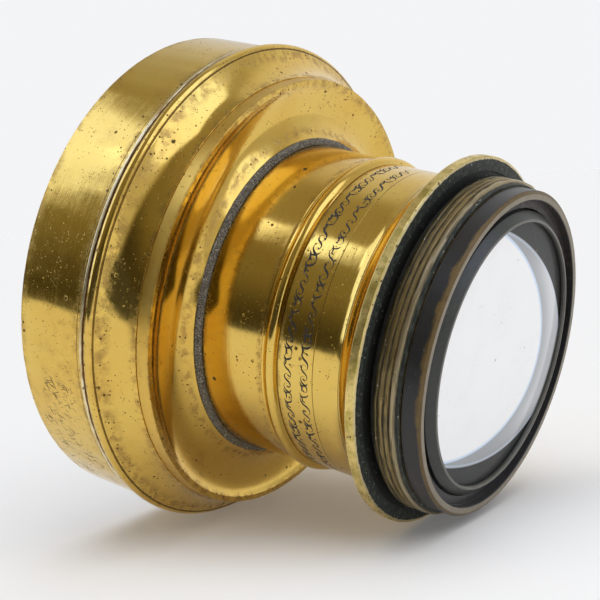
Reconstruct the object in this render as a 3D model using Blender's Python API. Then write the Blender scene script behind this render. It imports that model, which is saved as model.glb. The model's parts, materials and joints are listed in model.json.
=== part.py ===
"""Brass portrait lens, lying on its side: two screw-in cells in a stepped brass barrel.

Every piece is turned about one optical axis. Stations along it are measured in millimetres from
the front rim of the hood towards the small end, and radii from the axis. The lens rests on the lip
of its shoulder ring and on the rim of its mounting flange, so the axis dips towards the small end.
"""

from math import atan2, cos, pi, radians, sin, sqrt, tan

import bmesh
import bpy

MM = 0.001
SIDES = 32          # facets round every turned piece, one of them facing straight down
GAP = 0.3           # between pieces that touch on the real lens

# Driving radii
HOOD_R = 49.2       # outside of the hood drum
LIP_R = 50.2        # bright lip of the shoulder ring, the widest part of the lens
BAND_R = 44.4       # thin band round the dish
NECK_START_R = 31.65  # the neck tapers gently from the dish to the bead
NECK_END_R = 31.1
SPIGOT_R = 29.6     # both tubes are this size under the bead ring
BEAD_R = 31.9
BARREL_R = 30.7
FLANGE_R = 35.85
THREAD_R = 32.45    # crests of the mounting thread
SEAT_BORE_R = 33.0  # inner edge of the flange's raised seat, clear of the crests
REAR_R = 31.25      # black rim of the rear cell
TUBE_BORE_R = 28.0

# Driving stations
HOOD_END = 15.6
LIP_TOP = 17.4      # crest of the rounded lip, where the shoulder ring meets the table
SHOULDER_END = 24.9
DISH_END = 28.9
NECK_JOINT = 44.5   # the two tubes meet here, under the bead ring
BEAD_START = 43.3
BEAD_END = 46.4
FLARE_START = 59.3
FLARE_END = 64.2
FLANGE_TOP = 66.4   # rear edge of the flange rim, which meets the table
FLANGE_END = 66.6
THREAD_START = 68.0
THREAD_TURNS = 4
THREAD_PITCH = 1.1
SLEEVE_END = 73.0
REAR_END = 76.9

# Glass
FRONT_GLASS_R = 40.4
REAR_GLASS_R = 27.35

TILT = atan2(LIP_R - FLANGE_R, FLANGE_TOP - LIP_TOP)

BRASS = (0.78, 0.56, 0.17)
WORN_BRASS = (0.72, 0.55, 0.24)
OLD_BRASS = (0.36, 0.31, 0.16)
BLACKED_BRASS = (0.035, 0.036, 0.032)
SOLDER = (0.30, 0.29, 0.26)
GLASS = (0.90, 0.95, 0.95)


def arc(start, end, bulge, steps):
    """Points from start to end on a circular arc that stands `bulge` to the left of the chord."""
    (s0, r0), (s1, r1) = start, end
    chord = sqrt((s1 - s0) ** 2 + (r1 - r0) ** 2)
    along = ((s1 - s0) / chord, (r1 - r0) / chord)
    left = (-along[1], along[0])
    radius = (chord * chord / 4 + bulge * bulge) / (2 * abs(bulge))
    half = atan2(chord / 2, radius - abs(bulge))
    side = 1 if bulge > 0 else -1
    points = []
    for step in range(steps + 1):
        angle = half * (2 * step / steps - 1)
        forward = chord / 2 + radius * sin(angle)
        rise = side * (radius * cos(angle) - radius + abs(bulge))
        points.append((s0 + along[0] * forward + left[0] * rise, r0 + along[1] * forward + left[1] * rise))
    return points


def material(name, color, roughness, metallic, alpha=1.0):
    made = bpy.data.materials.new(name)
    made.use_nodes = True
    shader = made.node_tree.nodes["Principled BSDF"]
    shader.inputs["Base Color"].default_value = (*color, 1.0)
    shader.inputs["Roughness"].default_value = roughness
    shader.inputs["Metallic"].default_value = metallic
    shader.inputs["Alpha"].default_value = alpha
    made.diffuse_color = (*color, alpha)
    return made


def turned(name, outline, surface, axis):
    """A solid turned from an outline of (station, radius) points. One that starts and ends on the
    axis is a solid disc, and any other is a closed ring section."""
    shape = bmesh.new()
    slope = tan(pi / SIDES)
    points = [shape.verts.new((r * MM, r * slope * MM, s * MM)) for s, r in outline]
    on_axis = outline[0][1] == 0 and outline[-1][1] == 0
    pairs = list(zip(points, points[1:]))
    if not on_axis:
        pairs.append((points[-1], points[0]))
    edges = [shape.edges.new(pair) for pair in pairs]
    bmesh.ops.spin(
        shape,
        geom=points + edges,
        cent=(0, 0, 0),
        axis=(0, 0, 1),
        angle=2 * pi,
        steps=SIDES,
        use_merge=True,
    )
    bmesh.ops.remove_doubles(shape, verts=shape.verts[:], dist=0.00001 * MM)
    bmesh.ops.recalc_face_normals(shape, faces=shape.faces[:])
    mesh = bpy.data.meshes.new(name)
    shape.to_mesh(mesh)
    shape.free()
    mesh.materials.append(surface)
    mesh.shade_smooth()
    mesh.set_sharp_from_angle(angle=radians(28))
    piece = bpy.data.objects.new(name, mesh)
    bpy.context.scene.collection.objects.link(piece)
    piece.parent = axis
    piece.location.z = -axis["station"] * MM
    return piece


def axis_empty(name, station, parent=None):
    """A centre on the optical axis that pieces hang from."""
    empty = bpy.data.objects.new(name, None)
    bpy.context.scene.collection.objects.link(empty)
    empty["station"] = station
    if parent is not None:
        empty.parent = parent
        empty.location.z = (station - parent["station"]) * MM
    return empty


def lens_glass(front_edge, front_sag, rear_edge, rear_sag, radius):
    """Outline of one lens. Each edge is a station at the rim, and a sag moves that surface's centre
    forward of it (positive) or back."""
    rings = 4
    front = [(front_edge, radius)]
    rear = [(rear_edge, radius)]
    if front_sag:
        front = arc((front_edge, -radius), (front_edge, radius), front_sag, 2 * rings)[rings:]
    if rear_sag:
        rear = arc((rear_edge, radius), (rear_edge, -radius), -rear_sag, 2 * rings)[: rings + 1]
    centre_front = (front_edge - front_sag, 0)
    centre_rear = (rear_edge - rear_sag, 0)
    front = [point for point in front if point[1] > 0.01]
    rear = [point for point in rear if point[1] > 0.01]
    return [centre_front, *front, *rear, centre_rear]


def front_cell_pieces(cell, glass, brass, blacked, clear):
    """The hood and the ring that carries the front glass turn together in the shoulder's thread."""
    wall = 1.6
    plate = 2.0
    cell_r = 42.9
    cell_bore_r = FRONT_GLASS_R + 0.4
    hood = [
        (0, HOOD_R - wall),
        (0, HOOD_R - 0.35),
        (0.35, HOOD_R),
        (HOOD_END, HOOD_R),
        (HOOD_END, cell_r + GAP),
        (HOOD_END - plate, cell_r + GAP),
        (HOOD_END - plate, HOOD_R - wall),
    ]
    turned("front_hood", hood, brass, cell)

    cell_ring = [
        (8.8, cell_bore_r),
        (8.8, cell_r),
        (22.3, cell_r),
        (22.3, 38.6),
        (21.3, 38.6),
        (21.3, cell_bore_r),
    ]
    turned("front_cell", cell_ring, blacked, cell)

    retaining = [(9.0, 37.8), (9.0, FRONT_GLASS_R), (10.1, FRONT_GLASS_R), (10.1, 38.2)]
    turned("front_retaining_ring", retaining, blacked, cell)

    turned("front_crown_glass", lens_glass(11.1, 4.2, 15.4, -3.5, FRONT_GLASS_R), clear, glass)
    turned("front_flint_glass", lens_glass(15.7, -3.5, 21.0, 0, FRONT_GLASS_R), clear, glass)


def shoulder_pieces(barrel, brass, bright, solder):
    """The wide front of the barrel: seam ring, coved shoulder ring, dish and the solder round the neck."""
    bore_r = 43.4
    seam = [(15.9, bore_r), (15.9, 49.5), (16.1, 49.7), (16.5, 49.7), (16.5, bore_r)]
    turned("hood_seam_ring", seam, bright, barrel)

    cove = arc((18.9, LIP_R - 0.8), (SHOULDER_END, 44.6), -0.9, 5)
    shoulder = [
        (16.8, bore_r),
        (16.8, LIP_R - 0.4),
        (17.0, LIP_R),
        (LIP_TOP, LIP_R),
        (18.4, LIP_R - 0.35),
        *cove,
        (SHOULDER_END, bore_r),
    ]
    turned("shoulder_ring", shoulder, brass, barrel)

    collar_r = bore_r - GAP
    neck_hole_r = NECK_START_R + GAP
    hollow = arc((27.6, BAND_R - 1.3), (DISH_END, 32.9), -1.8, 5)
    dish = [
        (23.0, 41.6),
        (23.0, collar_r),
        (SHOULDER_END + GAP, collar_r),
        (SHOULDER_END + GAP, BAND_R),
        (27.7, BAND_R),
        (27.7, BAND_R - 1.1),
        *hollow,
        (DISH_END, neck_hole_r),
        (27.0, neck_hole_r),
        (24.4, 38.0),
    ]
    turned("neck_dish", dish, brass, barrel)

    fillet = [(29.2, neck_hole_r), (29.2, 32.9), (29.5, 32.9), (29.9, 32.25), (29.9, neck_hole_r)]
    turned("neck_solder_ring", fillet, solder, barrel)


def tube_pieces(barrel, brass, blacked):
    """The neck and the engraved tube, the bead ring over their joint, and the stops inside."""
    neck = [
        (26.6, 30.0),
        (26.6, NECK_START_R),
        (30.2, NECK_START_R),
        (BEAD_START - GAP, NECK_END_R),
        (BEAD_START - GAP, SPIGOT_R),
        (NECK_JOINT, SPIGOT_R),
        (NECK_JOINT, TUBE_BORE_R),
        (32.0, TUBE_BORE_R),
    ]
    turned("neck_tube", neck, brass, barrel)

    bead_bore_r = SPIGOT_R + GAP
    fillet_r = 31.3
    torus = arc((44.1, 31.05), (BEAD_END, 31.0), BEAD_R - 31.0, 4)
    bead = [
        (BEAD_START, bead_bore_r),
        (BEAD_START, fillet_r - 0.25),
        (43.5, fillet_r),
        (43.9, fillet_r),
        *torus,
        (BEAD_END, bead_bore_r),
    ]
    turned("neck_bead_ring", bead, brass, barrel)

    sleeve_bore_r = 29.9
    flare = arc((FLARE_START, BARREL_R), (FLARE_END, 35.0), -1.0, 4)
    engraved = [
        (NECK_JOINT + GAP, TUBE_BORE_R),
        (NECK_JOINT + GAP, SPIGOT_R),
        (BEAD_END + GAP, SPIGOT_R),
        (BEAD_END + GAP, BARREL_R),
        *flare,
        (FLARE_END, sleeve_bore_r),
        (57.7, sleeve_bore_r),
        (57.7, TUBE_BORE_R),
    ]
    turned("engraved_barrel", engraved, brass, barrel)

    stop_r = TUBE_BORE_R - GAP
    central = [(37.0, 20.0), (37.0, stop_r), (37.8, stop_r), (37.8, 20.0)]
    turned("central_stop", central, blacked, barrel)
    rear = [(54.0, 22.5), (54.0, stop_r), (54.8, stop_r), (54.8, 22.5)]
    turned("rear_baffle", rear, blacked, barrel)


def mount_pieces(barrel, worn, old):
    """The flange that seats on a lens board, and the sleeve that carries its thread."""
    sleeve_r = 29.6
    flange = [
        (FLARE_END + GAP, sleeve_r + GAP),
        (FLARE_END + GAP, FLANGE_R - 0.4),
        (64.8, FLANGE_R),
        (FLANGE_TOP, FLANGE_R),
        (FLANGE_END, FLANGE_R - 0.25),
        (FLANGE_END, SEAT_BORE_R),
        (FLANGE_END - 0.25, SEAT_BORE_R),
        (FLANGE_END - 0.25, sleeve_r + GAP),
    ]
    turned("mount_flange", flange, worn, barrel)

    root_r = THREAD_R - 0.75
    undercut_r = 31.0
    cell_bore_r = 29.6
    thread = []
    for turn in range(THREAD_TURNS):
        start = THREAD_START + turn * THREAD_PITCH
        thread += [(start, root_r), (start + 0.35, THREAD_R), (start + 0.75, THREAD_R)]
    thread.append((THREAD_START + THREAD_TURNS * THREAD_PITCH, root_r))
    sleeve = [
        (58.0, TUBE_BORE_R),
        (58.0, sleeve_r),
        (FLANGE_END + GAP, sleeve_r),
        (FLANGE_END + GAP, undercut_r),
        (THREAD_START - 0.1, undercut_r),
        *thread,
        (SLEEVE_END, root_r),
        (SLEEVE_END, cell_bore_r),
        (67.2, cell_bore_r),
        (67.2, TUBE_BORE_R),
    ]
    turned("mount_thread_sleeve", sleeve, old, barrel)


def rear_cell_pieces(cell, glass, blacked, clear):
    """The black rear cell, its retaining ring, and the air-spaced pair of glasses inside."""
    spigot_r = 29.25
    glass_bore_r = 27.7
    rim_bore_r = 29.5
    body = [
        (67.6, 25.6),
        (67.6, spigot_r),
        (SLEEVE_END + GAP, spigot_r),
        (SLEEVE_END + GAP, REAR_R),
        (REAR_END - 0.2, REAR_R),
        (REAR_END, REAR_R - 0.2),
        (REAR_END, rim_bore_r + 0.2),
        (REAR_END - 0.2, rim_bore_r),
        (75.2, rim_bore_r),
        (75.2, glass_bore_r),
        (68.4, glass_bore_r),
        (68.4, 25.6),
    ]
    turned("rear_cell", body, blacked, cell)

    retaining = [
        (75.1, 25.2),
        (74.95, 26.2),
        (74.95, REAR_GLASS_R),
        (75.75, REAR_GLASS_R),
        (77.2, 25.8),
        (77.2, 25.5),
    ]
    turned("rear_retaining_ring", retaining, blacked, cell)

    spacer = [(71.2, 25.2), (71.2, REAR_GLASS_R), (72.0, REAR_GLASS_R), (72.0, 25.2)]
    turned("rear_spacer_ring", spacer, blacked, glass)
    turned("rear_flint_glass", lens_glass(68.7, -0.6, 70.9, 0.8, REAR_GLASS_R), clear, glass)
    turned("rear_crown_glass", lens_glass(72.3, 1.3, 74.6, -1.3, REAR_GLASS_R), clear, glass)


def build():
    for old_object in list(bpy.data.objects):
        bpy.data.objects.remove(old_object, do_unlink=True)

    brass = material("lacquered_brass", BRASS, 0.22, 1.0)
    bright = material("bright_seam", WORN_BRASS, 0.35, 1.0)
    worn = material("worn_flange_brass", WORN_BRASS, 0.38, 1.0)
    old = material("tarnished_thread_brass", OLD_BRASS, 0.5, 1.0)
    blacked = material("blacked_brass", BLACKED_BRASS, 0.45, 0.0)
    solder = material("lead_solder", SOLDER, 0.7, 0.6)
    clear = material("optical_glass", GLASS, 0.03, 0.0, alpha=0.35)

    lens = axis_empty("lens_axis", 0)
    lens.rotation_euler = (0, pi / 2 + TILT, 0)
    lens.location = (
        (HOOD_R * sin(TILT) - REAR_END * cos(TILT) - REAR_R * sin(TILT)) / 2 * MM,
        0,
        (LIP_TOP * sin(TILT) + LIP_R * cos(TILT)) * MM,
    )
    front_glass = axis_empty("front_glass_axis", 16, lens)
    front_cell = axis_empty("front_cell_axis", 16, lens)
    rear_glass = axis_empty("rear_glass_axis", 73, lens)
    rear_cell = axis_empty("rear_cell_axis", 73, lens)

    front_cell_pieces(front_cell, front_glass, brass, blacked, clear)
    shoulder_pieces(lens, brass, bright, solder)
    tube_pieces(lens, brass, blacked)
    mount_pieces(lens, worn, old)
    rear_cell_pieces(rear_cell, rear_glass, blacked, clear)


build()
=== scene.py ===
"""Looks of the brass portrait lens: smooth turned pieces, aged finishes, floor, light and camera."""

import json
import math
import random

import bmesh
import bpy
from mathutils import Matrix, Vector, noise


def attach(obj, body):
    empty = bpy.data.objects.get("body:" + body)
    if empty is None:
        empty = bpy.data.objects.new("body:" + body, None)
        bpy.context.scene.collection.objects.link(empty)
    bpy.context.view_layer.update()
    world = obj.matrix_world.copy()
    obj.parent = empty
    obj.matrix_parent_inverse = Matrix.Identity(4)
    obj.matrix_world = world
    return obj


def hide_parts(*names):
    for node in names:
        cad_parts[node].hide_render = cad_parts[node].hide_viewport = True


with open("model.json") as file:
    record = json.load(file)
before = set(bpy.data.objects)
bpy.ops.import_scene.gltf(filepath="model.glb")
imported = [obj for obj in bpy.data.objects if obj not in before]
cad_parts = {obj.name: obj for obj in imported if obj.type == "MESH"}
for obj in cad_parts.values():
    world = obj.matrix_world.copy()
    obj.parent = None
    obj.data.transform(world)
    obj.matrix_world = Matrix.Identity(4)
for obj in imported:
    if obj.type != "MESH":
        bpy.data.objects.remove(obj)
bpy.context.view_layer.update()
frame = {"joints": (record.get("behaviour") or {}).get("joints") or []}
MM = 0.001

# A corner wider than this is left as it is. A run longer than LONG_RUN beside it gets a point
# SUPPORT away from it, both in millimetres.
SLIGHT_BEND = math.radians(155)
LONG_RUN = 3.0
SUPPORT = 0.25

# ---------------------------------------------------------------- lens frame
# Stations run along the optical axis from the hood's front rim, in millimetres.
# Local X points down, local Y along the row's +Y and local Z along the axis.
hinge = next(j for j in frame["joints"] if j["name"] == "front_cell_turn")
HINGE_STATION = 16.0
AXIS = -Vector(hinge["axis"]).normalized()
ORIGIN = Vector(hinge["pos_m"]) - HINGE_STATION * MM * AXIS
DOWN = Vector((0, 1, 0)).cross(AXIS)
LENS = Matrix((DOWN, (0, 1, 0), AXIS)).transposed().to_4x4()
LENS.translation = ORIGIN


# ---------------------------------------------------------------- outlines
def spun(station, r, angle):
    """The point at that station, radius and angle, in metres of the lens frame."""
    return r * math.cos(angle) * MM, r * math.sin(angle) * MM, station * MM


def arc(start, end, bulge, steps=16):
    """Points from start to end that bow to the left of the way by bulge."""
    p, q = Vector(start), Vector(end)
    chord = (q - p).length
    side = Vector((-(q - p).y, (q - p).x)) / chord
    radius = (chord * chord / 4 + bulge * bulge) / (2 * abs(bulge))
    points = []
    for i in range(steps + 1):
        t = i / steps
        along = (t - 0.5) * chord
        rise = math.sqrt(radius * radius - along * along) - (radius - abs(bulge))
        points.append(tuple(p + (q - p) * t + side * math.copysign(rise, bulge)))
    return points


def rounded(outline, radius):
    """The closed outline with each real corner rounded. Support points beside a corner, and beside a
    slight bend between long runs, keep the shading of the flat stretches flat."""
    points = []
    count = len(outline)
    for i, corner in enumerate(outline):
        p = Vector(outline[i - 1])
        c = Vector(corner)
        q = Vector(outline[(i + 1) % count])
        before, after = (p - c), (q - c)
        angle = before.angle(after)
        if angle > SLIGHT_BEND:
            if before.length > LONG_RUN:
                points.append(tuple(c + SUPPORT * before.normalized()))
            points.append(tuple(c))
            if after.length > LONG_RUN:
                points.append(tuple(c + SUPPORT * after.normalized()))
            continue
        cut = min(radius / math.tan(angle / 2), 0.3 * before.length, 0.3 * after.length)
        a = c + before.normalized() * cut
        b = c + after.normalized() * cut
        room_a = min(0.35 * cut + 0.03, 0.45 * (before.length - cut))
        room_b = min(0.35 * cut + 0.03, 0.45 * (after.length - cut))
        points.append(tuple(a + before.normalized() * room_a))
        for t in (0.0, 0.2, 0.4, 0.6, 0.8, 1.0):
            points.append(tuple((1 - t) ** 2 * a + 2 * t * (1 - t) * c + t * t * b))
        points.append(tuple(b + after.normalized() * room_b))
    return points


def finish_mesh(mesh, name, body, slot, materials, *nodes):
    """The mesh as an object in the lens frame that rides on body and stands for the CAD nodes."""
    for polygon in mesh.polygons:
        polygon.use_smooth = True
    obj = bpy.data.objects.new(name, mesh)
    bpy.context.scene.collection.objects.link(obj)
    obj.matrix_world = LENS
    for material in materials:
        mesh.materials.append(material)
    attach(obj, body)
    if nodes:
        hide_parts(*nodes)
    return obj


def turned(name, outline, body, slot, materials, nodes, radius=0.12, pick=None, shape=None, around=288):
    """Turns the closed outline about the axis. pick(station, r) gives a face's material number,
    and shape(station, r, angle) moves a point, in millimetres."""
    section = rounded(outline, radius)
    bm = bmesh.new()
    rings = []
    for k in range(around):
        angle = 2 * math.pi * k / around
        ring = []
        for station, r in section:
            if shape:
                station, r = shape(station, r, angle)
            ring.append(bm.verts.new(spun(station, r, angle)))
        rings.append(ring)
    count = len(section)
    for k in range(around):
        here, there = rings[k], rings[(k + 1) % around]
        for i in range(count):
            j = (i + 1) % count
            face = bm.faces.new((here[i], here[j], there[j], there[i]))
            if pick:
                middle = (Vector(section[i]) + Vector(section[j])) / 2
                face.material_index = pick(middle.x, middle.y)
    bmesh.ops.recalc_face_normals(bm, faces=bm.faces)
    mesh = bpy.data.meshes.new(name)
    bm.to_mesh(mesh)
    bm.free()
    return finish_mesh(mesh, name, body, slot, materials, *nodes)


def lens(name, front, rear, radius, body, material, node, bevel=None):
    """A lens from the axis out. front and rear are (edge station, centre station), and bevel is the
    (station, r) where the rear face starts when its edge is ground down to the rear station."""
    def curve(edge, centre, reach, steps=28):
        points = []
        for i in range(steps + 1):
            r = reach * i / steps
            points.append((centre + (edge - centre) * (r / reach) ** 2, r))
        return points
    if bevel:
        outline = curve(*front, radius) + [(rear[0], radius)] + curve(bevel[0], rear[1], bevel[1])[::-1]
    else:
        outline = curve(*front, radius) + curve(*rear, radius)[::-1]
    around = 192
    bm = bmesh.new()
    rings = []
    for station, r in outline:
        if r == 0:
            rings.append([bm.verts.new((0, 0, station * MM))])
            continue
        rings.append([bm.verts.new(spun(station, r, 2 * math.pi * k / around)) for k in range(around)])
    for here, there in zip(rings, rings[1:]):
        for k in range(around):
            after = (k + 1) % around
            if len(here) == 1:
                bm.faces.new((here[0], there[k], there[after]))
            elif len(there) == 1:
                bm.faces.new((here[k], there[0], here[after]))
            else:
                bm.faces.new((here[k], there[k], there[after], here[after]))
    bmesh.ops.recalc_face_normals(bm, faces=bm.faces)
    mesh = bpy.data.meshes.new(name)
    bm.to_mesh(mesh)
    bm.free()
    for edge in mesh.edges:
        ends = [mesh.vertices[v].co for v in edge.vertices]
        edge.use_edge_sharp = all(abs(Vector((e.x, e.y)).length - radius * MM) < 1e-7 for e in ends)
    return finish_mesh(mesh, name, body, "optical_glass", [material], node)


# ---------------------------------------------------------------- shader helpers
class Shader:
    """A node tree with short ways to add nodes. Lengths in it are millimetres of the lens frame."""

    def __init__(self, name):
        self.material = bpy.data.materials.new(name)
        self.material.use_nodes = True
        self.nodes = self.material.node_tree.nodes
        self.links = self.material.node_tree.links
        self.principled = self.nodes["Principled BSDF"]
        coordinates = self.nodes.new("ShaderNodeTexCoord").outputs["Object"]
        self.p = self.vector("SCALE", coordinates, scale=1000.0)
        parts = self.add("ShaderNodeSeparateXYZ", Vector=self.p)
        self.x, self.y, self.s = parts.outputs
        self.r = self.math("SQRT", self.math("ADD", self.math("MULTIPLY", self.x, self.x),
                                             self.math("MULTIPLY", self.y, self.y)))

    def put(self, socket, value):
        if isinstance(value, bpy.types.NodeSocket):
            self.links.new(value, socket)
        elif value is not None:
            socket.default_value = value

    def add(self, kind, settings=None, **inputs):
        node = self.nodes.new(kind)
        for key, value in (settings or {}).items():
            setattr(node, key, value)
        for key, value in inputs.items():
            self.put(node.inputs[key], value)
        return node

    def math(self, operation, a, b=None):
        node = self.add("ShaderNodeMath", {"operation": operation})
        self.put(node.inputs[0], a)
        self.put(node.inputs[1], b)
        return node.outputs[0]

    def vector(self, operation, a, b=None, scale=None):
        node = self.add("ShaderNodeVectorMath", {"operation": operation})
        self.put(node.inputs[0], a)
        self.put(node.inputs[1], b)
        if scale is not None:
            node.inputs["Scale"].default_value = scale
        return node.outputs[0]

    def stretched(self, around, along, shift=0.0):
        """Coordinates for a pattern of those scales round the axis and along it."""
        moved = self.vector("ADD", self.p, (shift, 1.7 * shift, 0.6 * shift))
        return self.vector("MULTIPLY", moved, (around, around, along))

    def unrolled(self, turn, along, across, shift=0.0):
        """Coordinates on the unrolled surface, turned by an angle and stretched, for strokes."""
        angle = self.math("ARCTAN2", self.y, self.x)
        u = self.math("ADD", self.math("MULTIPLY", angle, self.r), shift)
        c, s = math.cos(turn), math.sin(turn)
        first = self.math("ADD", self.math("MULTIPLY", u, c), self.math("MULTIPLY", self.s, s))
        second = self.math("ADD", self.math("MULTIPLY", u, -s), self.math("MULTIPLY", self.s, c))
        node = self.add("ShaderNodeCombineXYZ", X=self.math("MULTIPLY", first, along),
                        Y=self.math("MULTIPLY", second, across), Z=shift)
        return node.outputs[0]

    def noise(self, where, scale=1.0, detail=3.0, roughness=0.5, distortion=0.0):
        node = self.add("ShaderNodeTexNoise", Vector=where, Scale=scale, Detail=detail,
                        Roughness=roughness, Distortion=distortion)
        return node.outputs["Fac"]

    def step(self, value, low, high):
        """0 below low and 1 above high, smooth between them; low may be above high."""
        node = self.add("ShaderNodeMapRange", {"interpolation_type": "SMOOTHSTEP"},
                        **{"Value": value, "From Min": low, "From Max": high})
        return node.outputs[0]

    def band(self, value, centre, width, soft):
        """1 within width of centre."""
        distance = self.math("ABSOLUTE", self.math("SUBTRACT", value, centre))
        return self.step(distance, width + soft, width)

    def mix(self, share, a, b):
        node = self.add("ShaderNodeMix", {"data_type": "RGBA"})
        self.put(node.inputs[0], share)
        for socket, value in ((node.inputs[6], a), (node.inputs[7], b)):
            self.put(socket, (*value, 1.0) if isinstance(value, tuple) else value)
        return node.outputs[2]

    def blend(self, share, a, b):
        """Numbers a and b mixed."""
        node = self.add("ShaderNodeMix", {"data_type": "FLOAT"})
        self.put(node.inputs[0], share)
        self.put(node.inputs[2], a)
        self.put(node.inputs[3], b)
        return node.outputs[0]

    def times(self, *values):
        total = values[0]
        for value in values[1:]:
            total = self.math("MULTIPLY", total, value)
        return total

    def most(self, *values):
        total = values[0]
        for value in values[1:]:
            total = self.math("MAXIMUM", total, value)
        return total

    def specks(self, scale, size, share, shift=0.0, where=None):
        """Round specks: share of the cells of a scattered grid hold one, of radius size in cells."""
        place = self.vector("ADD", where or self.p, (shift, 0.3 * shift, 0.7 * shift))
        node = self.add("ShaderNodeTexVoronoi", Vector=place, Scale=scale, Randomness=1.0)
        chance = self.add("ShaderNodeSeparateColor", Color=node.outputs["Color"])
        ragged = self.math("MULTIPLY", self.noise(self.p, 6.0, 2.0), 0.9 * size)
        radius = self.math("ADD", self.math("MULTIPLY", chance.outputs[1], size), ragged)
        inside = self.step(self.math("SUBTRACT", node.outputs["Distance"], radius), 0.06, -0.02)
        chosen = self.math("LESS_THAN", chance.outputs[0], share)
        return self.times(inside, chosen)

    def bump(self, height, distance, normal=None):
        """distance is the height of 1, in millimetres."""
        node = self.add("ShaderNodeBump", Height=height, Distance=distance * MM, Strength=1.0, Normal=normal)
        return node.outputs[0]

    def finish(self, **inputs):
        for key, value in inputs.items():
            if isinstance(value, tuple) and len(value) == 3:
                value = (*value, 1.0)
            self.put(self.principled.inputs[key.replace("_", " ")], value)
        return self.material


# ---------------------------------------------------------------- finishes
def lacquered_brass(name, edges=(), lines=(), wear=1.0, warm=0.0, ferns=False, rubbed=None):
    """Gold lacquer over turned brass. edges are (station, reach) with dense pits and brown tarnish,
    lines are scribed stations, ferns adds branching scratches low on one side, and rubbed is a
    (first station, last station, least radius) band that handling dulled."""
    m = Shader(name)
    blotch = m.noise(m.p, 0.06, 4.0, 0.6)
    mottle = m.noise(m.p, 0.5, 5.0, 0.65)
    fine = m.noise(m.p, 2.6, 4.0, 0.7)
    grain = m.noise(m.stretched(0.05, 6.0), 1.0, 3.0, 0.6)
    rings = m.noise(m.stretched(0.012, 1.1, 5.0), 1.0, 4.0, 0.7)
    near = m.step(blotch, 0.60, 0.80)
    for station, reach in edges:
        here = m.step(m.math("ABSOLUTE", m.math("SUBTRACT", m.s, station)), reach, 0.0)
        near = m.most(near, here)
    edge = m.times(near, m.step(mottle, 0.38, 0.62))
    stain = m.times(m.step(m.noise(m.p, 0.11, 5.0, 0.7), 0.52, 0.72), m.step(fine, 0.30, 0.62))

    yellow = (0.768, 0.541, 0.134)
    orange = (0.700, 0.410, 0.070)
    brown = (0.300, 0.165, 0.055)
    tint = m.math("ADD", m.math("MULTIPLY", m.step(blotch, 0.35, 0.72), 0.45), warm)
    colour = m.mix(m.math("MINIMUM", tint, 1.0), yellow, orange)
    colour = m.mix(m.times(m.most(edge, m.times(stain, 0.55)), 0.55), colour, brown)
    cluster = m.step(m.noise(m.p, 0.09, 3.0, 0.6), 0.47, 0.60)
    pits = m.most(
        m.times(m.specks(0.62, 0.13, 0.16 * wear), m.most(cluster, near)),
        m.specks(0.30, 0.08, 0.16 * wear, 9.0),
        m.times(m.specks(1.35, 0.18, 0.22 * wear, 4.0), m.most(near, m.times(cluster, 0.8))),
        m.times(m.specks(2.4, 0.20, 0.22 * wear, 7.0), m.step(mottle, 0.46, 0.60)),
    )
    if ferns:
        low = m.times(m.step(m.x, 6.0, 16.0), m.step(m.x, 44.0, 36.0), m.step(m.y, -4.0, -16.0),
                      m.step(m.s, 1.0, 3.0), m.step(m.s, 14.6, 11.0),
                      m.step(m.noise(m.p, 0.16, 3.0), 0.44, 0.56))
        strokes = []
        for slope in (22, 68, 112):
            streaks = m.noise(m.unrolled(math.radians(slope), 0.35, 2.3, 11.0 * slope), 1.0, 2.0)
            strokes.append(m.step(streaks, 0.60, 0.68))
        pits = m.most(pits, m.times(low, m.most(*strokes)))
    colour = m.mix(m.times(pits, 0.9), colour, (0.055, 0.028, 0.014))
    holes = pits
    if lines:
        scribed = m.most(*(m.band(m.s, station, 0.03, 0.07) for station in lines))
        colour = m.mix(m.times(scribed, 0.8), colour, (0.07, 0.035, 0.012))
        holes = m.most(pits, scribed)
    rough = m.blend(mottle, 0.06, 0.16)
    rough = m.math("ADD", rough, m.math("MULTIPLY", m.math("ABSOLUTE", m.math("SUBTRACT", rings, 0.5)), 0.25))
    if rubbed:
        first, last, least = rubbed
        dull = m.times(m.step(m.s, first - 0.1, first), m.step(m.s, last + 0.1, last),
                       m.step(m.r, least, least + 0.3))
        rough = m.blend(dull, rough, 0.34)
    rough = m.blend(m.most(m.times(pits, 0.9), m.times(edge, 0.55)), rough, 0.55)
    normal = m.bump(grain, 0.0016)
    normal = m.bump(rings, 0.005, normal)
    normal = m.bump(m.noise(m.p, 0.16, 3.0, 0.5), 0.03, normal)
    normal = m.bump(m.math("SUBTRACT", 1.0, holes), 0.06, normal)
    return m.finish(Base_Color=colour, Metallic=1.0, Roughness=rough, Normal=normal)


def bright_seam():
    """Bare edge of the seam ring, with brown dirt in the joint behind it."""
    m = Shader("bright_seam")
    grain = m.noise(m.stretched(0.05, 7.0), 1.0, 3.0)
    spots = m.specks(0.8, 0.15, 0.4)
    colour = m.mix(m.step(m.noise(m.p, 0.2, 4.0), 0.4, 0.7), (0.84, 0.74, 0.47), (0.60, 0.45, 0.20))
    colour = m.mix(m.times(spots, 0.8), colour, (0.10, 0.06, 0.03))
    dirt = m.step(m.math("ADD", m.s, m.math("MULTIPLY", m.noise(m.p, 0.5, 3.0), 0.3)), 16.50, 16.62)
    colour = m.mix(dirt, colour, (0.16, 0.085, 0.030))
    rough = m.blend(dirt, m.blend(grain, 0.16, 0.36), 0.5)
    return m.finish(Base_Color=colour, Metallic=1.0, Roughness=rough, Normal=m.bump(grain, 0.01))


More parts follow.
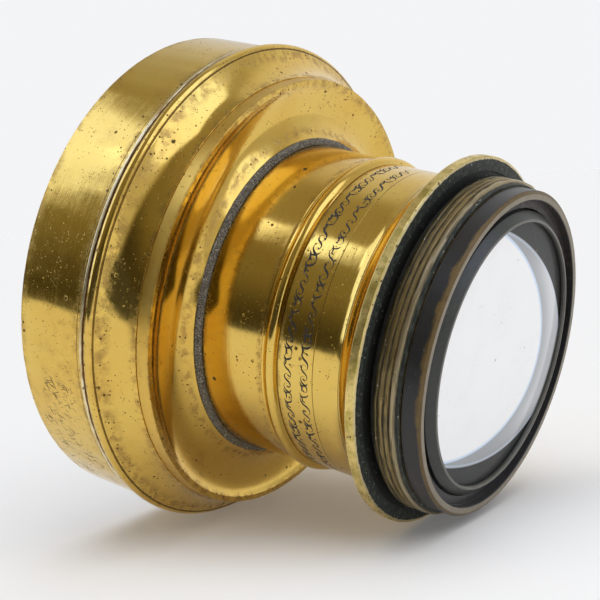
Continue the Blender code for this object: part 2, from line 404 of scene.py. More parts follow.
def solder():
    """Lumpy grey solder with dark hollows, and pale specks on the lump tops that are painted highlights,
    glints.
    """
    m = Shader("lead_solder")
    lump = m.noise(m.p, 1.6, 5.0, 0.75)
    grit = m.noise(m.p, 4.5, 4.0, 0.75)
    # Painted highlights: pale specks on the lump tops stand for glints.
    lump_glints = m.specks(3.0, 0.30, 0.55)
    colour = m.mix(m.step(grit, 0.42, 0.58), (0.022, 0.018, 0.014), (0.34, 0.31, 0.25))
    colour = m.mix(m.times(lump_glints, m.step(lump, 0.42, 0.55)), colour, (0.62, 0.58, 0.48))
    colour = m.mix(m.step(lump, 0.58, 0.72), colour, (0.11, 0.065, 0.03))
    normal = m.bump(lump, 0.30)
    normal = m.bump(grit, 0.16, normal)
    return m.finish(Base_Color=colour, Metallic=0.45, Roughness=m.blend(grit, 0.45, 0.75), Normal=normal)


def blacked(name, rims=(), tone=0.016, dirt=False, lip=False):
    """Satin blacking over brass, worn through at the rims: (station, r, reach). dirt is for the ring in
    the rear recess, and lip is for the tan face and gold edge of the rear cell's rim."""
    m = Shader(name)
    mottle = m.noise(m.p, 0.7, 5.0, 0.65)
    fine = m.noise(m.p, 5.0, 3.0, 0.6)
    lathe = m.noise(m.stretched(0.03, 5.0), 1.0, 3.0)
    wear = None
    for station, r, reach in rims:
        ds = m.math("SUBTRACT", m.s, station)
        dr = m.math("SUBTRACT", m.r, r)
        away = m.math("SQRT", m.math("ADD", m.times(ds, ds), m.times(dr, dr)))
        uneven = m.blend(m.noise(m.p, 0.22, 4.0, 0.6), 0.3, 1.9)
        here = m.step(away, m.times(uneven, reach), m.times(uneven, 0.55 * reach))
        wear = here if wear is None else m.most(wear, here)
    black = m.mix(mottle, (tone, tone, 1.1 * tone), (1.9 * tone, 1.8 * tone, 1.8 * tone))
    dust = m.step(m.noise(m.p, 2.2, 5.0, 0.75), 0.62, 0.78)
    flecks = m.specks(1.2, 0.14, 0.12, 2.0)
    colour = m.mix(m.times(m.most(dust, flecks), 0.4), black, (0.20, 0.18, 0.15))
    metal = 0.0
    rough = m.blend(mottle, 0.30, 0.46)
    if dirt:
        ring = m.times(m.step(m.r, 28.1, 27.8), m.step(m.s, 75.6, 75.8))
        green = m.mix(m.noise(m.p, 0.8, 5.0, 0.7), (0.020, 0.023, 0.019), (0.052, 0.055, 0.047))
        colour = m.mix(ring, colour, green)
        upper = m.times(m.step(m.x, -6.0, -22.0), m.step(m.r, 27.4, 27.8))
        rust = m.times(m.step(m.noise(m.p, 1.2, 5.0, 0.75), 0.44, 0.62), upper)
        colour = m.mix(m.times(rust, 0.7), colour, m.mix(fine, (0.055, 0.032, 0.020), (0.17, 0.12, 0.08)))
        pale = m.times(m.step(m.r, 26.05, 25.85), m.step(m.s, 76.6, 76.9))
        colour = m.mix(m.times(pale, 0.8), colour, m.mix(mottle, (0.11, 0.10, 0.085), (0.23, 0.215, 0.185)))
        scratch = m.step(m.noise(m.unrolled(math.radians(72), 0.35, 2.6), 1.0, 3.0), 0.64, 0.72)
        colour = m.mix(m.times(scratch, 0.35), colour, (0.16, 0.15, 0.125))
        rough = m.blend(rust, rough, 0.9)
    if wear is not None:
        bare = m.mix(m.noise(m.p, 0.35, 5.0, 0.7), (0.40, 0.30, 0.17), (0.235, 0.165, 0.085))
        wear = m.times(wear, m.blend(m.step(fine, 0.3, 0.6), 0.6, 1.0))
        colour = m.mix(wear, colour, bare)
        metal = m.times(wear, 0.8)
        rough = m.blend(wear, rough, 0.42)
    if lip:
        ragged = m.math("MULTIPLY", m.math("SUBTRACT", m.noise(m.p, 0.22, 4.0, 0.6), 0.5), 3.0)
        left = m.times(m.step(m.y, -12.0, -24.0), m.step(m.x, 12.0, 2.0))
        start = m.math("ADD", m.blend(left, 76.35, 75.7), m.times(ragged, m.blend(left, 0.15, 0.9)))
        gold = m.times(m.step(m.math("SUBTRACT", m.s, start), 0.0, m.blend(left, 0.35, 0.8)),
                       m.step(m.r, 29.6, 29.8), m.blend(m.step(fine, 0.25, 0.55), 0.7, 1.0))
        brown = m.mix(m.noise(m.p, 0.6, 5.0, 0.7), (0.20, 0.125, 0.033), (0.060, 0.038, 0.014))
        colour = m.mix(gold, colour, brown)
        face = m.times(m.step(m.s, 76.72, 76.86), m.step(m.r, 29.55, 29.7), m.step(m.r, 30.75, 30.45))
        tan = m.mix(m.noise(m.p, 0.5, 5.0, 0.7), (0.36, 0.31, 0.23), (0.20, 0.17, 0.125))
        colour = m.mix(face, colour, tan)
        worn = m.most(face, m.times(gold, 0.7))
        metal = m.blend(worn, metal, 0.45)
        rough = m.blend(worn, rough, 0.5)
    normal = m.bump(lathe, 0.008)
    normal = m.bump(fine, 0.010, normal)
    return m.finish(Base_Color=colour, Metallic=metal, Roughness=rough, Normal=normal)


def flange_brass():
    """Worn, coarsely stippled brass rim. Its rear face is dark with verdigris."""
    m = Shader("worn_flange_brass")
    pitting = m.noise(m.p, 1.5, 6.0, 0.78)
    worn = m.noise(m.p, 0.35, 4.0, 0.6)
    ragged = m.math("MULTIPLY", m.math("SUBTRACT", m.noise(m.p, 0.8, 4.0), 0.5), 0.5)
    rear = m.times(m.step(m.s, 66.22, 66.30), m.step(m.math("ADD", m.r, ragged), 35.35, 35.20))
    spots = m.most(m.times(m.specks(1.3, 0.20, 0.35), m.step(worn, 0.42, 0.55)),
                   m.specks(0.7, 0.14, 0.15, 6.0))
    colour = m.mix(m.step(worn, 0.40, 0.66), (0.80, 0.62, 0.23), (0.50, 0.385, 0.10))
    colour = m.mix(m.times(m.step(pitting, 0.50, 0.66), 0.45), colour, (0.24, 0.185, 0.055))
    colour = m.mix(m.step(m.s, 65.0, 64.75), colour, (0.82, 0.66, 0.28))
    colour = m.mix(m.step(m.r, 35.75, 35.45), colour, (0.62, 0.51, 0.27))
    colour = m.mix(m.times(spots, 0.8), colour, (0.075, 0.052, 0.022))
    crust = m.step(m.noise(m.p, 1.2, 5.0, 0.7), 0.45, 0.7)
    verdigris = m.mix(crust, (0.018, 0.022, 0.017), (0.085, 0.098, 0.076))
    verdigris = m.mix(m.step(m.r, 33.2, 32.8), verdigris, (0.016, 0.016, 0.013))
    flecks = m.specks(2.0, 0.16, 0.16, 3.0)
    verdigris = m.mix(flecks, verdigris, (0.40, 0.42, 0.36))
    colour = m.mix(rear, colour, verdigris)
    metal = m.blend(rear, 1.0, 0.15)
    rough = m.blend(rear, m.blend(pitting, 0.20, 0.42), 0.6)
    normal = m.bump(pitting, 0.05)
    normal = m.bump(worn, 0.10, normal)
    normal = m.bump(m.math("SUBTRACT", 1.0, spots), 0.05, normal)
    return m.finish(Base_Color=colour, Metallic=metal, Roughness=rough, Normal=normal)


def thread_brass():
    """Thread crests worn to dull brass over black roots, a black undercut and a green rear shoulder."""
    m = Shader("tarnished_thread_brass")
    grime = m.noise(m.stretched(0.5, 2.5), 1.0, 5.0, 0.7)
    uneven = m.blend(m.noise(m.stretched(0.12, 0.5), 1.0, 4.0), -0.45, 0.35)
    height = m.math("ADD", m.r, m.math("ADD", uneven, m.math("MULTIPLY", m.step(m.s, 71.0, 71.6), 0.25)))
    crest = m.times(m.step(height, 31.95, 32.35), m.step(m.s, 67.9, 68.1))
    root = m.times(m.step(grime, 0.30, 0.62), m.step(m.s, 67.9, 69.5))
    colour = m.mix(root, (0.016, 0.016, 0.013), (0.100, 0.078, 0.038))
    brass = m.mix(m.noise(m.stretched(0.25, 0.6), 1.0, 5.0, 0.7), (0.42, 0.31, 0.135), (0.13, 0.098, 0.042))
    brass = m.mix(m.step(m.s, 69.6, 68.2), brass, (0.060, 0.052, 0.028))
    brass = m.mix(m.times(m.step(m.s, 71.4, 71.9), 0.7), brass, (0.42, 0.35, 0.22))
    colour = m.mix(crest, colour, brass)
    green = m.times(m.step(m.s, 72.3, 72.5), m.step(m.r, 31.2, 31.5))
    shoulder = m.mix(m.step(grime, 0.45, 0.65), (0.012, 0.016, 0.013), (0.055, 0.065, 0.050))
    colour = m.mix(green, colour, shoulder)
    flecks = m.specks(1.5, 0.15, 0.16, 3.0)
    colour = m.mix(m.times(flecks, 0.85), colour, (0.46, 0.43, 0.34))
    metal = m.times(crest, 0.9)
    rough = m.blend(crest, 0.6, 0.36)
    return m.finish(Base_Color=colour, Metallic=metal, Roughness=rough, Normal=m.bump(grime, 0.06))


def engraving_fill():
    """Black wax in the engraved lines, worn thin here and there."""
    m = Shader("engraving_fill")
    grit = m.noise(m.p, 3.0, 4.0, 0.7)
    worn = m.step(m.noise(m.p, 1.1, 4.0, 0.7), 0.56, 0.70)
    colour = m.mix(m.step(grit, 0.5, 0.8), (0.018, 0.015, 0.013), (0.075, 0.055, 0.025))
    colour = m.mix(m.times(worn, 0.6), colour, (0.30, 0.20, 0.06))
    return m.finish(Base_Color=colour, Roughness=m.blend(grit, 0.45, 0.7), Normal=m.bump(grit, 0.02))


def clear_glass():
    m = Shader("old_glass")
    smear = m.noise(m.p, 0.12, 4.0, 0.6)
    rough = m.blend(m.step(smear, 0.45, 0.75), 0.0, 0.02)
    return m.finish(Base_Color=(0.985, 0.992, 0.992), Roughness=rough, IOR=1.52, Transmission_Weight=1.0,
                    Normal=m.bump(m.noise(m.p, 0.6, 3.0), 0.0008))


def glass_with_painted_view(name, painted_rim_view):
    """Old glass painted with the bright white seen through it, and made to glow: painted light. With its
    second argument true it also carries a painted image of the dark rim seen through it, with a crescent,
    blue fringes and a black outer zone: painted shade and light.
    """
    m = Shader(name)
    painted_white_tone = m.noise(m.p, 0.10, 4.0, 0.6)
    dust = m.most(m.specks(0.21, 0.030, 0.6, 2.0), m.specks(0.5, 0.045, 0.12, 7.0))
    wave = m.noise(m.stretched(0.3, 0.3, 4.0), 1.0, 2.0, 0.5, 3.0)
    scratch = m.times(m.step(wave, 0.505, 0.500), m.step(wave, 0.493, 0.498))
    # The white is the bright room seen through the glass, painted on as colour: painted light.
    colour = m.mix(painted_white_tone, (0.865, 0.865, 0.870), (0.800, 0.810, 0.820))
    colour = m.mix(m.times(scratch, m.step(painted_white_tone, 0.5, 0.6), 0.5), colour, (0.45, 0.40, 0.36))
    gloss = 1.0
    if painted_rim_view:
        def oval(down, side):
            """Rises through 1 at the edge of an oval image, whose centre stands off the axis."""
            dx = m.math("ADD", m.x, down)
            dy = m.math("ADD", m.y, side)
            u = m.math("ADD", m.math("MULTIPLY", dx, 0.0436), m.math("MULTIPLY", dy, -0.0128))
            v = m.math("ADD", m.math("MULTIPLY", dx, 0.0073), m.math("MULTIPLY", dy, 0.0247))
            return m.math("SQRT", m.math("ADD", m.times(u, u), m.times(v, v)))
        near, far = oval(5.6, 20.5), oval(2.8, 10.8)
        # Painted light and shade: a crescent, the rim's inner wall seen through the glass, paler towards its
        # outer edge.
        pale = m.mix(m.step(near, 1.0, 1.20), (0.31, 0.33, 0.35), (0.60, 0.61, 0.63))
        # Painted shade: the crescent is darker at its top and bottom ends.
        pale = m.mix(m.step(m.x, -12.0, -22.0), pale, (0.24, 0.25, 0.26))
        pale = m.mix(m.step(m.x, 12.0, 21.0), pale, (0.24, 0.255, 0.27))
        colour = m.mix(m.step(near, 0.985, 1.005), colour, pale)
        # Painted blue fringes along the edges of the seen-through image.
        colour = m.mix(m.times(m.band(near, 0.988, 0.004, 0.014), 0.6), colour, (0.40, 0.58, 0.85))
        colour = m.mix(m.times(m.band(far, 0.988, 0.004, 0.012), 0.35), colour, (0.50, 0.62, 0.80))
        # Painted shade: beyond the far oval, the dark bore seen through the rim, near-black with faint hairs.
        hairs = m.step(m.noise(m.stretched(0.35, 0.35, 8.0), 1.0, 4.0, 0.6, 2.0), 0.60, 0.70)
        dark = m.mix(m.times(hairs, 0.6), (0.010, 0.010, 0.009), (0.075, 0.065, 0.035))
        colour = m.mix(m.step(far, 0.995, 1.008), colour, dark)
        gloss = m.blend(m.step(far, 0.995, 1.008), 1.0, 0.22)
    colour = m.mix(m.times(dust, 0.75), colour, (0.26, 0.16, 0.09))
    # Painted light: the colour also glows, so that the painted white is as bright as the lit room.
    glow = m.vector("SCALE", colour, scale=0.52)
    return m.finish(Base_Color=m.vector("SCALE", colour, scale=0.58), Roughness=0.6, Emission_Color=glow,
                    Emission_Strength=1.0, Coat_Weight=gloss, Coat_Roughness=0.03, Coat_IOR=1.5)


# ---------------------------------------------------------------- pieces
def nicked(stations, depth):
    """A shape that dents the edges at these stations a little, and leaves the rest round."""
    def shape(station, r, angle):
        near = max(max(0.0, 1 - abs(station - s) / 0.5) for s in stations)
        here = noise.noise(Vector((math.cos(angle) * 14, math.sin(angle) * 14, station * 0.4)))
        cut = max(0.0, here - 0.25) * depth * near
        return station, r - cut
    return shape


drum_finish = lacquered_brass("drum_lacquer", edges=((15.6, 3.2), (0.0, 2.2)), lines=(14.75,), ferns=True)
shoulder_finish = lacquered_brass("shoulder_lacquer", edges=((17.3, 0.8), (19.6, 1.6), (24.8, 1.6)),
                                  lines=(18.93,), wear=1.3, warm=0.1)
dish_finish = lacquered_brass("dish_lacquer", edges=((27.9, 0.9),), wear=1.1, warm=0.15,
                              rubbed=(24.9, 27.65, 43.8))
neck_finish = lacquered_brass("neck_lacquer", edges=((30.2, 1.2), (42.8, 1.0)), warm=0.2)
bead_finish = lacquered_brass("bead_lacquer", wear=0.7, warm=0.1)
barrel_finish = lacquered_brass("barrel_lacquer", edges=((64.0, 1.0), (47.0, 0.6)), lines=(46.75, 54.4, 60.1))
inside_black = blacked("inside_black", tone=0.012)
flange_finish = flange_brass()
solder_finish = solder()
seam_finish = bright_seam()
thread_finish = thread_brass()

turned("hood_drum", [(0, 47.6), (0, 48.85), (0.35, 49.2), (15.6, 49.2), (15.6, 43.2), (13.6, 43.2),
                     (13.6, 47.6)],
       "front_cell_group", "lacquered_brass", [drum_finish, inside_black], ["front_hood"],
       pick=lambda s, r: int(r < 48.1), shape=nicked((0.0, 15.5), 0.25), around=360)

turned("seam_ring", [(15.66, 43.4), (15.66, 49.4), (15.85, 49.75), (16.35, 49.75), (16.6, 49.5),
                     (16.7, 49.2), (16.7, 43.4)],
       "barrel", "bright_seam", [seam_finish], ["hood_seam_ring"], shape=nicked((16.3,), 0.12))

turned("shoulder", [(16.74, 43.4), (16.74, 49.3)] + arc((16.78, 49.45), (18.85, 49.55), 0.68, 16)
       + [(18.95, 49.25)] + arc((19.0, 49.2), (24.93, 44.6), -0.85, 28) + [(24.93, 43.4)],
       "barrel", "lacquered_brass", [shoulder_finish, inside_black], ["shoulder_ring"],
       radius=0.08, pick=lambda s, r: int(r < 43.6), shape=nicked((17.2,), 0.15))

turned("dish", [(23, 41.6), (23, 43.1), (24.96, 43.1), (24.96, 44.42), (27.7, 44.4), (27.7, 43.3)]
       + arc((27.6, 43.1), (28.9, 32.9), -1.8, 28) + [(28.9, 31.72), (27, 31.72), (24.4, 38)],
       "barrel", "lacquered_brass", [dish_finish, inside_black], ["neck_dish"],
       pick=lambda s, r: int(s < 24.9 or (r < 40.5 and s < 25.4)), shape=nicked((27.6,), 0.15))


def lumpy(station, r, angle):
    """A shape for solder that was run on by hand: swells and lumps on its outer side."""
    place = Vector((math.cos(angle) * 42, math.sin(angle) * 42, station * 2.2))
    bump = noise.noise(place) + 0.6 * noise.noise(place * 2.7)
    swell = noise.noise(Vector((math.cos(angle) * 5, math.sin(angle) * 5, 3.0)))
    outer = min(1.0, max(0.0, (r - 31.95) / 0.3))
    along = 0.09 * bump - 0.10 * max(0.0, swell)
    inward = 0.16 * max(0.0, 0.5 - bump) - 0.12 * swell
    return station + along * outer, r - inward * outer


turned("solder_fillet", [(28.95, 31.72), (28.95, 32.95), (29.3, 33.05), (29.65, 32.8), (29.9, 32.4),
                         (30.0, 31.95), (30.0, 31.72)],
       "barrel", "lead_solder", [solder_finish], ["neck_solder_ring"], radius=0.05, shape=lumpy, around=720)

turned("neck", [(26.6, 30), (26.6, 31.65), (30.2, 31.65), (43.0, 31.1), (43.24, 31.0), (43.24, 29.6),
                (44.5, 29.6), (44.5, 28), (32, 28)],
       "barrel", "lacquered_brass", [neck_finish, inside_black], ["neck_tube"],
       pick=lambda s, r: int(r < 28.8 or s < 28.0))

turned("bead", [(43.28, 29.9), (43.28, 31.05), (43.5, 31.3), (43.9, 31.3), (44.05, 31.0)]
       + arc((44.15, 31.05), (46.4, 31.0), 0.9) + [(46.55, 30.75), (46.55, 29.9)],
       "barrel", "lacquered_brass", [bead_finish], ["neck_bead_ring"],
       radius=0.08, shape=nicked((45.2,), 0.1))

BARREL_R = 30.7
turned("barrel_tube", [(44.8, 28), (44.8, 29.6), (46.6, 29.6), (46.6, BARREL_R)]
       + arc((58.7, BARREL_R), (64.2, 35.0), -1.08, 24) + [(64.2, 29.9), (57.7, 29.9), (57.7, 28)],
       "barrel", "lacquered_brass", [barrel_finish, inside_black], ["engraved_barrel"],
       pick=lambda s, r: int(r < 29.7), around=360)

turned("stop_ring", [(37.0, 20.0), (37.0, 27.7), (37.8, 27.7), (37.8, 20.0)],
       "barrel", "blacked_brass", [inside_black], ["central_stop"])
turned("baffle_ring", [(54.0, 22.5), (54.0, 27.7), (54.8, 27.7), (54.8, 22.5)],
       "barrel", "blacked_brass", [inside_black], ["rear_baffle"])

turned("flange", [(64.5, 29.9), (64.5, 35.45), (64.8, 35.85), (66.3, 35.85), (66.6, 35.3), (66.6, 33.0),
                  (66.35, 33.0), (66.35, 29.9)],
       "barrel", "worn_flange_brass", [flange_finish], ["mount_flange"],
       shape=nicked((64.7, 66.5), 0.3), around=360)

THREAD_PITCH = 1.1
sleeve = [(58, 28), (58, 29.6), (66.9, 29.6), (66.9, 31.0), (67.9, 31.0)]
for crest in range(4):
    start = 68.0 + THREAD_PITCH * crest
    sleeve += [(start, 31.95), (start + 0.3, 32.4), (start + 0.85, 32.45)]
sleeve += [(72.4, 31.7), (73, 31.7), (73, 29.6), (67.2, 29.6), (67.2, 28)]


def worn_thread(station, r, angle):
    """A shape that wears the crests down unevenly."""
    if r < 31.8:
        return station, r
    place = Vector((math.cos(angle) * 6, math.sin(angle) * 6, station * 0.8))
    return station + 0.05 * noise.noise(place), r - 0.18 * max(0.0, 0.3 + noise.noise(place * 2.0))


turned("thread_sleeve", sleeve, "barrel", "tarnished_thread_brass", [thread_finish], ["mount_thread_sleeve"],
       radius=0.14, shape=worn_thread, around=480)

rear_rim = blacked("rear_rim_black", rims=((73.3, 31.25, 0.10),), tone=0.009, lip=True)
rear_ring_black = blacked("rear_ring_black", tone=0.015, dirt=True)
turned("rear_cell_ring", [(67.6, 25.6), (67.6, 29.25), (73.3, 29.25), (73.3, 31.25), (76.45, 31.25),
                          (76.9, 30.75), (76.9, 29.65), (76.75, 29.5), (75.2, 29.5), (75.2, 27.7),
                          (68.4, 27.7), (68.4, 25.6)],
       "rear_cell_group", "blacked_brass", [rear_rim, rear_ring_black], ["rear_cell"],
       pick=lambda s, r: int(r < 29.55 and s > 70), shape=nicked((76.8,), 0.2), around=360)
turned("rear_retainer", [(76.3, 25.35), (75.35, 27.0), (74.95, 27.0), (74.95, 27.35), (75.75, 27.35),
                         (77.1, 25.95), (77.2, 25.5)],
       "rear_cell_group", "blacked_brass", [rear_ring_black], ["rear_retaining_ring"], radius=0.07)
turned("rear_spacer", [(71.2, 25.2), (71.2, 27.35), (72.0, 27.35), (72.0, 25.2)],
       "rear_glasses", "blacked_brass", [inside_black], ["rear_spacer_ring"])

front_ring_black = blacked("front_ring_black", rims=((9.0, 37.8, 0.25), (9.0, 40.4, 0.2)), tone=0.014)
turned("front_cell_ring", [(8.8, 40.8), (8.8, 42.9), (22.3, 42.9), (22.3, 38.6), (21.3, 38.6), (21.3, 40.8)],
       "front_cell_group", "blacked_brass", [front_ring_black], ["front_cell"])
turned("front_retainer", [(9, 37.8), (9, 40.4), (10.1, 40.4), (10.1, 38.2)],
       "front_cell_group", "blacked_brass", [front_ring_black], ["front_retaining_ring"])

old_glass = clear_glass()
lens("front_crown", (11.1, 6.9), (15.4, 18.9), 40.4, "front_glasses", old_glass, "front_crown_glass")
lens("front_flint", (15.7, 19.2), (21.0, 21.0), 40.4, "front_glasses", old_glass, "front_flint_glass")
inner_glass = glass_with_painted_view("inner_glass_painted_glow", False)
outer_glass = glass_with_painted_view("rear_glass_painted_view", True)
lens("rear_flint", (68.7, 69.3), (70.9, 70.1), 27.35, "rear_glasses", inner_glass, "rear_flint_glass")
lens("rear_crown", (72.3, 71.0), (74.6, 76.7), 27.35, "rear_glasses", outer_glass, "rear_crown_glass",
     bevel=(76.0, 26.2))


# ---------------------------------------------------------------- engraved ornament
def stroke(points, thin, thick, sharpness=1):
    """The two sides of a ribbon along points, on the flat, thin at its ends and swelling to thin + thick."""
    sides = []
    last = len(points) - 1
    for i, point in enumerate(points):
        way = (points[min(i + 1, last)] - points[max(i - 1, 0)]).normalized()
        width = thin + thick * math.sin(math.pi * i / last) ** sharpness
        across = Vector((-way.y, way.x)) * width / 2
        sides.append((point + across, point - across))
    return sides


def winding(at, heading, length, bend, steps=20):
    """A line that sets off along heading and winds up more and more tightly."""
    points = [at]
    for i in range(steps):
        heading += bend * (0.4 + 1.8 * i / steps) / steps
        at = at + Vector((math.cos(heading), math.sin(heading))) * length / steps
        points.append(at)
    return points


def motif(chance, height, pitch, number):
    """One scroll, pair of leaves or both, with a drop beside it, as ribbons on the flat."""
    size = height / 3.0 * chance.uniform(0.86, 1.08)
    lean = math.radians(chance.uniform(58, 68))
    heavy = chance.uniform(0.22, 0.32) * size
    middle = Vector((0.0, 0.0))
    strokes = []
    if number % 4 < 3:
        bend = -chance.uniform(3.0, 3.7) * (1 if number % 2 else 0.72)
        down = winding(middle, lean + math.pi, 2.2 * size, bend)
        up = winding(middle, lean, 2.3 * size, bend)
        strokes.append(stroke(down[:0:-1] + up, 0.05, heavy, 3))
    if number % 4 > 1:
        for side in (-1, 1):
            leaf = winding(Vector((0.35 * side, -0.9 * size)), lean + 0.35 * side, 2.0 * size, 1.1 * side, 10)
            strokes.append(stroke(leaf, 0.04, heavy))
    drop = winding(Vector((0.52 * pitch, chance.uniform(-0.9, 0.3) * size)), lean, 0.55 * size, 0.0, 4)
    strokes.append(stroke(drop, 0.04, 0.24 * size))
    return strokes


def ornament(name, station, height, start, stop, pitch, seed):
    """A row of separate little scrolls, leaves and drops cut round the barrel and filled with black,
    between two angles."""
    chance = random.Random(seed)
    bm = bmesh.new()
    at = math.radians(start) * BARREL_R
    end = math.radians(stop) * BARREL_R
    number = 0
    while at < end:
        for sides in motif(chance, height, pitch, number):
            rows = []
            for pair in sides:
                ends = []
                for point in pair:
                    angle = (at + point.x) / BARREL_R
                    ends.append(bm.verts.new(spun(station + point.y, BARREL_R + FILL_STANDS, angle)))
                rows.append(ends)
            for here, there in zip(rows, rows[1:]):
                bm.faces.new((here[0], here[1], there[1], there[0]))
        at += pitch * chance.uniform(0.9, 1.1)
        number += 1
    mesh = bpy.data.meshes.new(name)
    bm.to_mesh(mesh)
    bm.free()
    return finish_mesh(mesh, name, "barrel", "lacquered_brass", [ink])


FILL_STANDS = 0.012
ink = engraving_fill()
ornament("engraved_row_front", 48.95, 3.7, -178, -26, 2.15, 5)
ornament("engraved_row_rear", 52.6, 3.7, -174, -34, 2.35, 8)


# ---------------------------------------------------------------- stage
def stage_mesh(name, corners, faces, material):
    mesh = bpy.data.meshes.new(name)
    mesh.from_pydata(corners, [], faces)
    mesh.materials.append(material)
    obj = bpy.data.objects.new(name, mesh)
    bpy.context.scene.collection.objects.link(obj)
    return obj


def only_seen_in(obj, glossy=False, camera=False, transmission=False):
    """Hides obj from every kind of ray but those named, so that it lights nothing."""
    obj.visible_camera = camera
    obj.visible_glossy = glossy
    obj.visible_transmission = transmission
    obj.visible_diffuse = False
    obj.visible_shadow = False
    obj.visible_volume_scatter = False


def make_glow(m, colour, strength):
    """The shader's surface as plain emission."""
    m.nodes.remove(m.principled)
    glow = m.add("ShaderNodeEmission", Color=colour, Strength=strength)
    m.links.new(glow.outputs[0], m.nodes["Material Output"].inputs["Surface"])
    return m.material


paper = bpy.data.materials.new("floor_paper")
paper.use_nodes = True
shader = paper.node_tree.nodes["Principled BSDF"]
shader.inputs["Base Color"].default_value = (0.860, 0.862, 0.872, 1.0)
shader.inputs["Roughness"].default_value = 0.9
shader.inputs["Specular IOR Level"].default_value = 0.0
HALF = 30.0
FLOOR_Z = -0.0002
square = [(-HALF, -HALF, FLOOR_Z), (HALF, -HALF, FLOOR_Z), (HALF, HALF, FLOOR_Z), (-HALF, HALF, FLOOR_Z)]
stage_mesh("floor", square, [(0, 1, 2, 3)], paper)

# The table ends a short way in front of the lens, and the dark room beyond it shows in the metal.
across = Vector((0.766, 0.643, 0.0))
ahead = Vector((0.643, -0.766, 0.0))
edge = 0.145 * ahead + Vector((0, 0, 0.0008))
corner = edge + 0.031 * across
room = [edge - 1.6 * across, corner, corner + 1.3 * Vector((0.79, -0.61, 0.0)),
        edge + 1.6 * ahead - 1.6 * across]
dark_room = make_glow(Shader("dark_room"), (1.0, 1.0, 1.0, 1.0), 0.07)
only_seen_in(stage_mesh("dark_room_floor", room, [(0, 1, 2, 3)], dark_room), glossy=True)


def shell(name, segments, radius, height, material):
    """A sphere round the whole table, with its centre at that height."""
    bm = bmesh.new()
    bmesh.ops.create_uvsphere(bm, u_segments=segments, v_segments=segments // 2, radius=radius)
    mesh = bpy.data.meshes.new(name)
    bm.to_mesh(mesh)
    bm.free()
    mesh.materials.append(material)
    obj = bpy.data.objects.new(name, mesh)
    bpy.context.scene.collection.objects.link(obj)
    obj.location = (0.0, 0.0, height)
    return obj


def studio_light():
    """The room round the table as the metal shows it: softboxes, pale backdrop and dark studio.
    Directions are azimuth from the row's -Y towards +X, and height, both in degrees."""
    m = Shader("studio_light")
    toward = m.vector("NORMALIZE", m.p)
    x, y, z = m.add("ShaderNodeSeparateXYZ", Vector=toward).outputs
    height = m.math("MULTIPLY", m.math("ARCSINE", z), 180 / math.pi)
    azimuth = m.math("MULTIPLY", m.math("ARCTAN2", x, m.math("MULTIPLY", y, -1.0)), 180 / math.pi)
    aside = m.math("ABSOLUTE", azimuth)

    def patch(az_low, az_high, el_low, el_high, soft):
        """1 inside that range of directions, with edges of softness soft."""
        return m.times(m.step(azimuth, m.math("SUBTRACT", az_low, soft), m.math("ADD", az_low, soft)),
                       m.step(azimuth, az_high + soft, az_high - soft),
                       m.step(height, el_low - soft, el_low + soft),
                       m.step(height, el_high + soft, el_high - soft))

    level = m.blend(m.step(height, 2.0, 34.0), 0.065, 0.235)
    level = m.blend(m.step(height, 36.0, 70.0), level, 0.36)
    behind = m.blend(m.step(aside, 125.0, 165.0), 0.55, 0.92)
    behind = m.times(behind, m.blend(m.step(height, 20.0, 70.0), 1.0, 0.80))
    shown = m.times(m.step(aside, 96.0, 120.0), m.step(height, 80.0, 66.0))
    level = m.blend(shown, level, behind)
    left = m.most(patch(-95.0, -41.7, 30.5, 63.5, 0.8), patch(-95.0, -46.0, 7.0, 40.0, 1.5))
    level = m.blend(left, level, 1.42)
    level = m.blend(patch(-44.0, -27.8, 49.0, 62.5, 1.4), level, 1.90)
    level = m.blend(patch(54.0, 122.0, -10.0, 42.0, 7.0), level, 0.64)
    fall = m.math("POWER", 2.718, m.math("MULTIPLY", height, -1 / 12))
    slant = m.math("ADD", 55.0, m.math("MULTIPLY", fall, 97.0))
    level = m.blend(patch(slant, 117.0, 0.0, 67.0, 2.5), level, 1.58)
    warmth = m.mix(m.step(level, 0.15, 0.70), (1.0, 0.86, 0.50), (1.0, 1.0, 1.0))
    warmth = m.mix(m.step(level, 1.0, 1.4), warmth, (0.93, 1.05, 1.42))
    return make_glow(m, warmth, level)


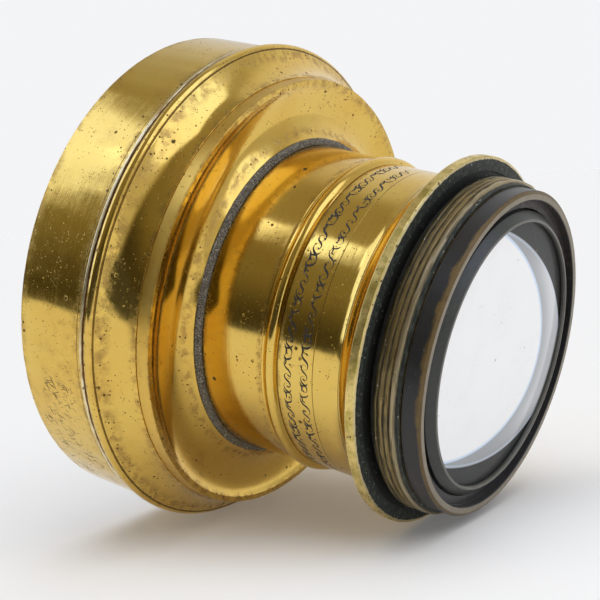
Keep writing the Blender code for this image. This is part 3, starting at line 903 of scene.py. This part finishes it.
# The dome is seen only in the metal. The pale paper behind everything is seen, and lights nothing.
only_seen_in(shell("studio_dome", 64, 1.2, 0.05, studio_light()), glossy=True)
backdrop_paper = make_glow(Shader("backdrop_paper"), (0.905, 0.908, 0.925, 1.0), 1.0)
only_seen_in(shell("backdrop", 48, 7.0, 0.0, backdrop_paper), camera=True, transmission=True)

# The light of the room on the floor and the dull parts, stronger from above.
world = bpy.data.worlds.new("studio")
bpy.context.scene.world = world
world.use_nodes = True
tree = world.node_tree
direction = tree.nodes.new("ShaderNodeTexCoord").outputs["Generated"]
upward = tree.nodes.new("ShaderNodeSeparateXYZ")
tree.links.new(direction, upward.inputs[0])
sky = tree.nodes.new("ShaderNodeMapRange")
tree.links.new(upward.outputs[2], sky.inputs["Value"])
sky.inputs["To Min"].default_value = 0.10
sky.inputs["To Max"].default_value = 0.35
tree.links.new(sky.outputs[0], tree.nodes["Background"].inputs["Strength"])
tree.nodes["Background"].inputs["Color"].default_value = (1.0, 0.998, 1.0, 1.0)


def sunlight(name, energy, spread, tilt, shadow):
    """A soft light from far off, spread degrees wide, tilted by degrees about X and Y from overhead."""
    sun = bpy.data.lights.new(name, "SUN")
    sun.energy = energy
    sun.angle = math.radians(spread)
    sun.use_shadow = shadow
    light = bpy.data.objects.new(name, sun)
    bpy.context.scene.collection.objects.link(light)
    light.rotation_euler = (math.radians(tilt[0]), math.radians(tilt[1]), 0)
    light.visible_glossy = False


sunlight("key_right", 1.00, 50, (10, 38), True)
sunlight("key_left", 0.36, 50, (20, -22), True)
sunlight("fill", 1.36, 60, (0, 0), False)

# ---------------------------------------------------------------- camera
# It stands as the photographer's did, by a fit to the lens's outlines.
camera = bpy.data.objects.new("camera", bpy.data.cameras.new("camera"))
bpy.context.scene.collection.objects.link(camera)
right = Vector((0.814555, 0.568038, -0.117612))
up = Vector((0.048472, 0.135389, 0.989606))
view = Matrix((right, up, right.cross(up))).transposed().to_4x4()
view.translation = Vector((0.14864, -0.21675, 0.06628))
camera.matrix_world = view
camera.data.lens = 77.79
camera.data.sensor_width = 36.0
camera.data.clip_start = 0.01
camera.data.clip_end = 100.0
bpy.context.scene.camera = camera
bpy.context.scene.view_settings.view_transform = "Standard"
